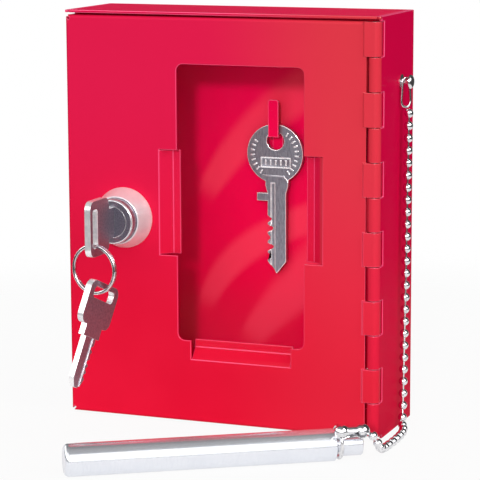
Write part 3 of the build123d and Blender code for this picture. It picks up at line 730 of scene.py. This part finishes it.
# Bright edge finish for rounded metal edges: glossy polish, with a near white colour that
# is a painted highlight.
painted_bright_edge, shader, place = new_finish("painted_bright_edge", Metallic=0.5)
highlight_tone = place.noise(scale=500.0, detail=4.0)
highlight_tone.between(0.3, 0.8).mix(colour("#ffffff"), colour("#dcdbe2")).into(
    shader, "Base Color"
)
(0.14 + highlight_tone * 0.12).into(shader, "Roughness")
softened("lock_housing", "lock_nose", lock_edge, brushed_nickel, "door",
         edge=painted_bright_edge)
softened("lock_plug", "lock_plug_front", 0.00012, brushed_nickel, "lock_core",
         edge=painted_bright_edge)
for node in ("lock_washer", "lock_nut", "lock_cam", "cam_screw"):
    coat(node, zinc_steel)

# ---- Wafers --------------------------------------------------------------------
# Thin stamped brass plates in the plug, lifted into line by the key.
brass, shader, place = new_finish("wafer_brass", Metallic=1.0)
stamping = place.noise(scale=1600.0, detail=4.0)
stamping.mix(colour("#d8b565"), colour("#a8813a")).into(shader, "Base Color")
(0.28 + stamping * 0.2).into(shader, "Roughness")
stamping.bump(strength=0.15, distance=0.00004).into(shader, "Normal")
coat("lock_wafers", brass)

# ---- Lock key, spare key and ring ---------------------------------------------------
# Two flat keys, stamped from nickel plated brass, one in the lock and one on a
# flat wire ring that hangs in the slot of the first one's bow.
key_nickel, shader, place = new_finish("key_nickel", Metallic=0.7)
handling = place.noise(scale=1300.0, detail=4.0)
fine = place.noise(scale=3600.0, detail=3.0)
handling.between(0.3, 0.8).mix(colour("#988c9a"), colour("#7e727f")).into(
    shader, "Base Color"
)
(0.30 + handling * 0.12 + fine * 0.05).into(shader, "Roughness")
handling.bump(strength=0.03, distance=0.00005).into(shader, "Normal")

key_edge = 0.00034
rim_tilt = 0.4


def highlight_rim(key):
    """The cut rim of a flat key gets the bright edge finish: polished, and lighter as a
    painted highlight.
    """
    flat = max(key.data.polygons, key=lambda face: face.area).normal.copy()
    for face in key.data.polygons:
        if abs(face.normal.dot(flat)) < rim_tilt:
            face.material_index = 1


for node, name, body in (
    ("lock_key", "key_in_lock", "door_key"),
    ("spare_key", "key_on_ring", "second_key"),
):
    highlight_rim(
        softened(node, name, key_edge, key_nickel, body, edge=painted_bright_edge)
    )
coat("key_ring", bright_nickel)

# ---- Hook --------------------------------------------------------------------
# A bent strip of sheet, welded to the back wall and coated with it.
softened("key_hook", "hook", 0.00018, case_paint, "case", edge=case_highlight_edge)

# ---- Emergency key -------------------------------------------------------------
# A cylinder lock's key of nickel silver, milled and tumbled. Its round bow has a
# raised rim of small bars and a framed panel, both stamped.
key_silver, shader, place = new_finish("key_silver", Metallic=0.9)
milling = place.stretched((1.0, 1.0, 0.25)).noise(scale=1500.0, detail=5.0)
tumbled = place.noise(scale=3600.0, detail=3.0)
(milling * 0.6 + tumbled * 0.4).between(0.3, 0.75).mix(
    colour("#b9b7c2"), colour("#7d7a88")
).into(shader, "Base Color")
(0.24 + milling * 0.2).into(shader, "Roughness")
(milling * 0.5 + tumbled * 0.5).bump(strength=0.25, distance=0.00006).into(shader, "Normal")
softened(
    "emergency_key", "key_on_hook", 0.0003, key_silver, "inner_key",
    edge=painted_bright_edge,
)

bow_middle = Vector((0.00795, 0.0153, 0.09593))
relief = 0.00018
relief_sunk = 0.0001
bar_rounding = relief * 0.6
panel_depth = relief * 0.8
bar_size = (0.0017, 0.0006)
bar_reach = 0.0087
bar_turns = [*range(-52, 62, 12), *range(148, 238, 12)]
panel_middle = (0.0004, -0.0033)
panel_size = (0.0120, 0.0041)
panel_rim = 0.00045
panel_bars = 5
panel_bar_width = 0.0007
panel_face_area = 1e-5
rim_bar_area = 1.2e-6
face_on = -0.97
shoulder_line = ((-0.0045, -0.0082), (0.0036, -0.0084), (0.0052, -0.0103))
shoulder_width = 0.0005


def raised_bar(size, middle, turn):
    """A low round-edged bar on the bow's face, turned about its own middle."""
    deselect()
    bpy.ops.mesh.primitive_cube_add(size=1.0)
    bar = bpy.context.active_object
    edit(bar)
    bpy.ops.mesh.select_all(action="SELECT")
    depth = relief + relief_sunk
    bpy.ops.transform.resize(value=(size[0], depth, size[1]))
    front_y = -depth / 2
    select_faces(bar, lambda face: face.calc_center_median().y < front_y * 0.9)
    bpy.ops.mesh.bevel(offset=bar_rounding, segments=2, affect="EDGES")
    close(bar)
    lift = (relief_sunk - relief) / 2
    at = bow_middle + Vector((middle[0], lift, middle[1]))
    bar.data.transform(Matrix.Translation(at) @ Matrix.Rotation(-turn, 4, "Y"))
    return bar


stamped = []
for degrees in bar_turns:
    turn = math.radians(degrees)
    middle = (bar_reach * math.cos(turn), bar_reach * math.sin(turn))
    stamped.append(raised_bar(bar_size, middle, turn))
for start, end in zip(shoulder_line, shoulder_line[1:]):
    run = Vector(end) - Vector(start)
    middle = (Vector(start) + Vector(end)) / 2
    turn = math.atan2(run.y, run.x)
    stamped.append(raised_bar((run.length + shoulder_width, shoulder_width), middle, turn))
panel = raised_bar(panel_size, panel_middle, 0.0)
edit(panel)
select_faces(
    panel, lambda face: face.normal.y < -0.99 and face.calc_area() > panel_face_area
)
bpy.ops.mesh.inset(thickness=panel_rim)
bpy.ops.transform.translate(value=(0, panel_depth, 0))
close(panel)
stamped.append(panel)
for index in range(panel_bars):
    along = (index - (panel_bars - 1) / 2) * panel_size[0] / (panel_bars + 1)
    middle = (panel_middle[0] + along, panel_middle[1])
    bar = (panel_bar_width, panel_size[1] * 0.5)
    stamped.append(raised_bar(bar, middle, 0.0))
stamping = joined("bow_stamping", stamped)
smooth(stamping, 30)
wear(stamping, key_silver)
# The sides of the raised stamping get the bright edge finish, a painted highlight.
stamping.data.materials.append(painted_bright_edge)
for face in stamping.data.polygons:
    face.material_index = int(face.normal.y > face_on or face.area < rim_bar_area)
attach(stamping, "inner_key")

# ---- Hammer --------------------------------------------------------------------
# A turned rod of satin anodised aluminium with a neck groove and a small head.
satin_aluminium, shader, place = new_finish("satin_aluminium", Metallic=0.80)
hammer_yaw = math.radians(33)
turned = place.node(
    "ShaderNodeMapping", (), {"Vector": place, "Rotation": (0, 0, -hammer_yaw)}
)
turning = turned.stretched((1.0, 0.05, 0.05)).noise(scale=9000.0, detail=3.0)
blotch = place.noise(scale=60.0, detail=3.0)
(turning * 0.7 + blotch * 0.3).between(0.25, 0.8).mix(
    colour("#f6f8fd"), colour("#e6e9f2")
).into(shader, "Base Color")
(0.15 + turning * 0.10).into(shader, "Roughness")
turning.bump(strength=0.05, distance=0.00005).into(shader, "Normal")
softened(
    "hammer_rod", "hammer", 0.0002, satin_aluminium, "hammer"
)

# ---- Floor -----------------------------------------------------------------------
# A plain pale table top, round and fading out at its edge, that keeps a soft
# shadow of the box.
floor_radius = 0.42
floor_middle = (0.0, 0.02, 0.0)
floor_fill = 0.93
floor_shine = 0.72
fade_start = floor_radius * 0.52
fade_end = floor_radius * 0.82

deselect()
bpy.ops.mesh.primitive_circle_add(
    vertices=96, radius=floor_radius, fill_type="NGON", location=floor_middle
)
floor = bpy.context.active_object
floor.name = "floor"
bpy.ops.object.transform_apply(location=True, rotation=True, scale=True)
pale_floor, shader, place = new_finish("pale_floor", Roughness=0.8)
tree = pale_floor.node_tree
place.noise(scale=30.0, detail=3.0).mix(colour("#d6d6d6"), colour("#cccccc")).into(
    shader, "Base Color"
)
rays = tree.nodes.new("ShaderNodeLightPath")
seen = Socket(tree, rays.outputs["Is Camera Ray"])
mirrored_floor = Socket(tree, rays.outputs["Is Glossy Ray"])
through_glass = Socket(tree, rays.outputs["Is Transmission Ray"])
white = place.node("ShaderNodeEmission", (), {"Color": (1, 1, 1, 1), "Strength": 1.0})
camera_share = (seen + through_glass) * floor_fill + mirrored_floor * floor_shine
lit = place.node(
    "ShaderNodeMixShader",
    (),
    {0: camera_share, 1: Socket(tree, shader.outputs[0]), 2: white},
)
from_middle = place.node(
    "ShaderNodeVectorMath",
    {"operation": "DISTANCE"},
    {0: place, 1: floor_middle},
    "Value",
)
fade = from_middle.between(fade_start, fade_end)
gone = place.node("ShaderNodeBsdfTransparent")
ground = place.node("ShaderNodeMixShader", (), {0: fade, 1: lit, 2: gone})
ground.into(tree.nodes["Material Output"], "Surface")
wear(floor, pale_floor)

# ---- Light -----------------------------------------------------------------------
# A bright lamp from the front right gives the shadows inside the case. Soft boxes,
# a fill behind the window and an even studio light the rest. The outer keys and
# their ring leave no shadow of the bright lamp on the door.
key_azimuth = math.radians(12)
key_elevation = math.radians(16)
key_strength = 1.32
key_width = math.radians(6)
lamps_aim = Vector((0, 0, 0.08))
studio_low = 0.12
studio_high = 0.42
studio_right = 0.05
mirrored_low = 0.06
mirrored_front = 0.85
mirrored_overhead = 0.22
mirrored_window = 1.3
overhead_light = 0.45
studio_height = (-0.1, 0.9)
overhead_start = (0.75, 0.95)
right_start = (0.1, 0.9)
left_start = (-0.90, -0.60)
front_end = (-0.1, 0.3)
wall_start = (0.06, 0.28)
window_bottom = (0.16, 0.34)
window_top = (0.50, 0.66)
ceiling_start = (0.52, 0.70)
behind_back = (0.2, 0.6)
behind_side = (-0.15, 0.15)
behind_top = (0.0, 0.15)

key_lamp = bpy.data.lights.new("key_lamp", "SUN")
key_lamp.energy = key_strength
key_lamp.angle = key_width
key_lamp_object = bpy.data.objects.new("key_lamp", key_lamp)
towards_lamp = Vector((
    math.sin(key_azimuth) * math.cos(key_elevation),
    -math.cos(key_azimuth) * math.cos(key_elevation),
    math.sin(key_elevation),
))
key_lamp_object.rotation_euler = towards_lamp.to_track_quat("Z", "Y").to_euler()
bpy.context.scene.collection.objects.link(key_lamp_object)

no_shadow = bpy.data.collections.new("no_shadow_from_key_lamp")
key_lamp_object.light_linking.blocker_collection = no_shadow
for name in ("key_in_lock", "key_on_ring", "key_ring"):
    no_shadow.objects.link(bpy.data.objects[name])
for entry in no_shadow.collection_objects:
    entry.light_linking.link_state = "EXCLUDE"


def soft_box(name, azimuth, elevation, distance, size, power, mirrored=True):
    """A soft area lamp that faces the box from that direction. It may be kept
    out of reflections."""
    lamp = bpy.data.lights.new(name, "AREA")
    lamp.shape = "RECTANGLE"
    lamp.size, lamp.size_y = size
    lamp.energy = power
    holder = bpy.data.objects.new(name, lamp)
    turn, rise = math.radians(azimuth), math.radians(elevation)
    direction = Vector((
        math.sin(turn) * math.cos(rise),
        -math.cos(turn) * math.cos(rise),
        math.sin(rise),
    ))
    holder.location = direction * distance + lamps_aim
    holder.rotation_euler = direction.to_track_quat("Z", "Y").to_euler()
    holder.visible_glossy = mirrored
    bpy.context.scene.collection.objects.link(holder)


soft_box(
    "side_box", azimuth=40, elevation=22, distance=1.1, size=(0.35, 1.0), power=1.4
)
soft_box(
    "high_side_box", azimuth=75, elevation=35, distance=1.0, size=(0.3, 0.6), power=2.5
)
soft_box(
    "front_box", azimuth=-15, elevation=30, distance=1.2, size=(1.1, 1.0), power=3.0
)
soft_box(
    "back_box", azimuth=195, elevation=20, distance=1.2, size=(1.0, 1.0), power=4.2,
    mirrored=False,
)

window_lamp_place = Vector((0.0077, -0.0163, 0.0812))
window_lamp = bpy.data.lights.new("window_lamp", "AREA")
window_lamp.shape = "RECTANGLE"
window_lamp.size, window_lamp.size_y = 0.046, 0.098
window_lamp.energy = 0.0105
window_lamp_object = bpy.data.objects.new("window_lamp", window_lamp)
window_lamp_object.location = window_lamp_place
window_lamp_object.rotation_euler = Vector((0, -1, 0)).to_track_quat("Z", "Y").to_euler()
window_lamp_object.visible_camera = False
window_lamp_object.visible_glossy = False
window_lamp_object.visible_transmission = False
bpy.context.scene.collection.objects.link(window_lamp_object)

world = bpy.data.worlds.new("studio")
bpy.context.scene.world = world
world.use_nodes = True
tree = world.node_tree
background = tree.nodes["Background"]
background.inputs["Color"].default_value = (1, 1, 1, 1)
coordinates = tree.nodes.new("ShaderNodeTexCoord")
direction = Socket(tree, coordinates.outputs["Generated"])
rays = tree.nodes.new("ShaderNodeLightPath")
sees_camera = Socket(tree, rays.outputs["Is Camera Ray"])
sees_glossy = Socket(tree, rays.outputs["Is Glossy Ray"])
sees_through = Socket(tree, rays.outputs["Is Transmission Ray"])
right, back, up = (direction.axis(index) for index in range(3))
height = up.between(*studio_height)
behind = back.between(*behind_back) * (1.0 - right.between(*behind_side))
behind = behind * (1.0 - up.between(*behind_top))
front = 1.0 - back.between(*front_end)
left = 1.0 - right.between(*left_start)
front = front + left - front * left
above = up.between(*wall_start) * front
overhead = up.between(*overhead_start)
window_light = up.between(*window_bottom)
window_light = window_light * (1.0 - up.between(*window_top)) * front
high = up.between(*ceiling_start)
to_right = right.between(*right_start)
lighting = studio_low + height * (studio_high - studio_low) + to_right * studio_right
lighting = lighting + overhead * overhead_light
mirrored = mirrored_low + above * (mirrored_front - mirrored_low)
mirrored = mirrored - high * front * (mirrored_front - mirrored_overhead)
mirrored = mirrored + window_light * mirrored_window
mirrored = mirrored * (1.0 - behind) + behind
level = lighting * (1.0 - sees_glossy) + mirrored * sees_glossy
seen = sees_camera + sees_through
level = level * (1.0 - seen) + seen
level.into(background, "Strength")

# ---- Picture -----------------------------------------------------------------------
# Colours as they are written.
bpy.context.scene.view_settings.view_transform = "Standard"
